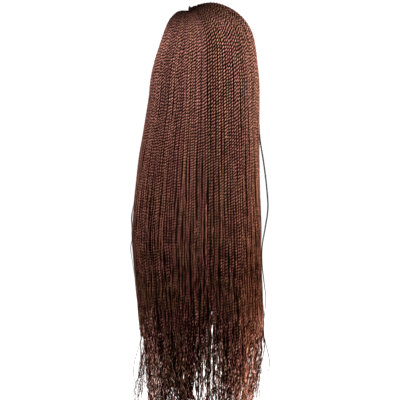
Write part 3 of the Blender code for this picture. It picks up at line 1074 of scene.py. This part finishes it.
def fine_strand(path, thick, turn, outline, rings_a_turn):
    """A short strand of one thickness, with its outer side to the back."""
    count = len(path)
    facing = np.tile((0, 1.0, 0), (count, 1))
    radius, pitch = np.full(count, thick), np.full(count, turn)
    return rope(path, facing, radius, pitch, outline, rings_a_turn, chance, FINE_RUN)


stray_ropes, stray_tints = [], []
for spots, thick, light in (
    (STRAY_TWIST, 1.9 * MM, 0.15), (LEFT_WISP, 1.0 * MM, 0.6), (LEFT_CURL, 1.3 * MM, 0.6),
    (RIGHT_CURL, 1.3 * MM, 0.2), (CROSSING, 0.9 * MM, 2.5), (KNOT_END, 1.1 * MM, 0.3),
):
    path = smooth_path(spots, 120)
    out = unit_rows(path * np.array((1, 1, 0)))
    radius = thick * (1 - 0.5 * smooth(np.linspace(0, 1, len(path)) * 1.4 - 0.4))
    pitch = np.full(len(path), STRAY_PITCH)
    stray_ropes.append(rope(path, out, radius, pitch, SPARE_OUTLINE, 5, chance, FINE_RUN))
    stray_tints.append(tint_of(chance, 0.5, light, 0.05))
for stub in range(ROOT_STUBS):
    foot = np.array((chance.uniform(*STUBS_ACROSS), chance.uniform(*STUBS_ALONG), STUB_FOOT)) * MM
    height = np.interp(foot[0] / MM, STUB_PLACES, STUB_TOPS) - 0.6 - chance.uniform(0, 1.5)
    tip = np.array((
        foot[0] - chance.uniform(0, 1.5) * MM, foot[1] + chance.uniform(-3, 3) * MM, height * MM,
    ))
    path = np.linspace(foot, tip, 12)
    stray_ropes.append(fine_strand(path, STUB_RADIUS, STRAY_PITCH, SPARE_OUTLINE, 5))
    stray_tints.append((0.5, 0.3, chance.random()))
for (left_at, left_z), (end_at, end_z) in (LEFT_FIBRES, RIGHT_FIBRES):
    for fibre in range(FIBRES):
        start = np.array((
            left_at + chance.normal(0, 3), chance.uniform(-25, 35), left_z - chance.uniform(0, 45),
        ))
        end = np.array((
            end_at + chance.uniform(-10, 10), start[1] + chance.normal(0, 8),
            end_z + chance.normal(0, 9),
        ))
        path = np.linspace(start, end, 60) * MM
        length = np.linspace(0, np.linalg.norm(end - start), 60) * MM
        path[:, 0] += 1.6 * MM * wander(length, ((0.045, 0.6), (0.022, 0.4)), chance)
        path[:, 1] += 2.0 * MM * wander(length, ((0.05, 0.6), (0.03, 0.4)), chance)
        stray_ropes.append(fine_strand(path, FIBRE_RADIUS, FIBRE_PITCH, SINGLE_OUTLINE, 8))
        stray_tints.append((0.8, 0.4, chance.random()))
joined_piece("stray_ends", stray_ropes, stray_tints, hair)


# The studio.
# A plain pale floor just under the ends, white light all round, two soft lights high behind the
# hair, the stronger to its right, and one on the face side. The camera is behind, a little raised.
FLOOR_GAP = 14 * MM
FLOOR_SIZE = 60
FLOOR_PAINT = (0.93, 0.93, 0.93, 1)
WHITE_LIGHT = 1.1
floor_height = cad_box[0][2] - FLOOR_GAP
bpy.ops.object.select_all(action="DESELECT")
bpy.ops.mesh.primitive_plane_add(size=FLOOR_SIZE, location=(0, 0, floor_height))
floor = bpy.context.object
floor.name = "studio_floor"
floor_paint = bpy.data.materials.new("pale floor")
floor_paint.use_nodes = True
paint = floor_paint.node_tree.nodes["Principled BSDF"]
paint.inputs["Base Color"].default_value = FLOOR_PAINT
paint.inputs["Roughness"].default_value = 0.9
paint.inputs["Specular IOR Level"].default_value = 0.1
floor.data.materials.append(floor_paint)

world = bpy.data.worlds.new("white studio")
bpy.context.scene.world = world
world.use_nodes = True
white = world.node_tree.nodes["Background"]
white.inputs["Color"].default_value = (1, 1, 1, 1)
white.inputs["Strength"].default_value = WHITE_LIGHT


def soft_light(name, place, aim, size, power):
    """A square area light at a place, aimed at a point."""
    lamp = bpy.data.lights.new(name, "AREA")
    lamp.size = size
    lamp.energy = power
    lit = bpy.data.objects.new(name, lamp)
    lit.location = place
    lit.rotation_euler = (Vector(aim) - Vector(place)).to_track_quat("-Z", "Y").to_euler()
    bpy.context.scene.collection.objects.link(lit)


soft_light("key_light", (-1.3, 1.3, 0.55), (0, 0, -0.12), 0.7, 37)
soft_light("second_light", (1.4, 1.2, 0.45), (0, 0, -0.12), 0.7, 21)
soft_light("face_light", (-0.5, -1.9, 0.6), (0, 0, -0.2), 0.9, 26)

VIEW_DISTANCE = 2.6
VIEW_HEIGHT = math.radians(3)
SEEN_WIDTH = 0.76
SEEN_MIDDLE = Vector((11.4 * MM, 0, -360 * MM))
lens = bpy.data.cameras.new("camera")
lens.sensor_width = 36
lens.lens = lens.sensor_width * VIEW_DISTANCE / SEEN_WIDTH
camera = bpy.data.objects.new("camera", lens)
straight_behind = Vector((0, math.cos(VIEW_HEIGHT), math.sin(VIEW_HEIGHT)))
camera.location = SEEN_MIDDLE + VIEW_DISTANCE * straight_behind
camera.rotation_euler = (SEEN_MIDDLE - camera.location).to_track_quat("-Z", "Y").to_euler()
bpy.context.scene.collection.objects.link(camera)
bpy.context.scene.camera = camera
bpy.context.scene.view_settings.view_transform = "Standard"
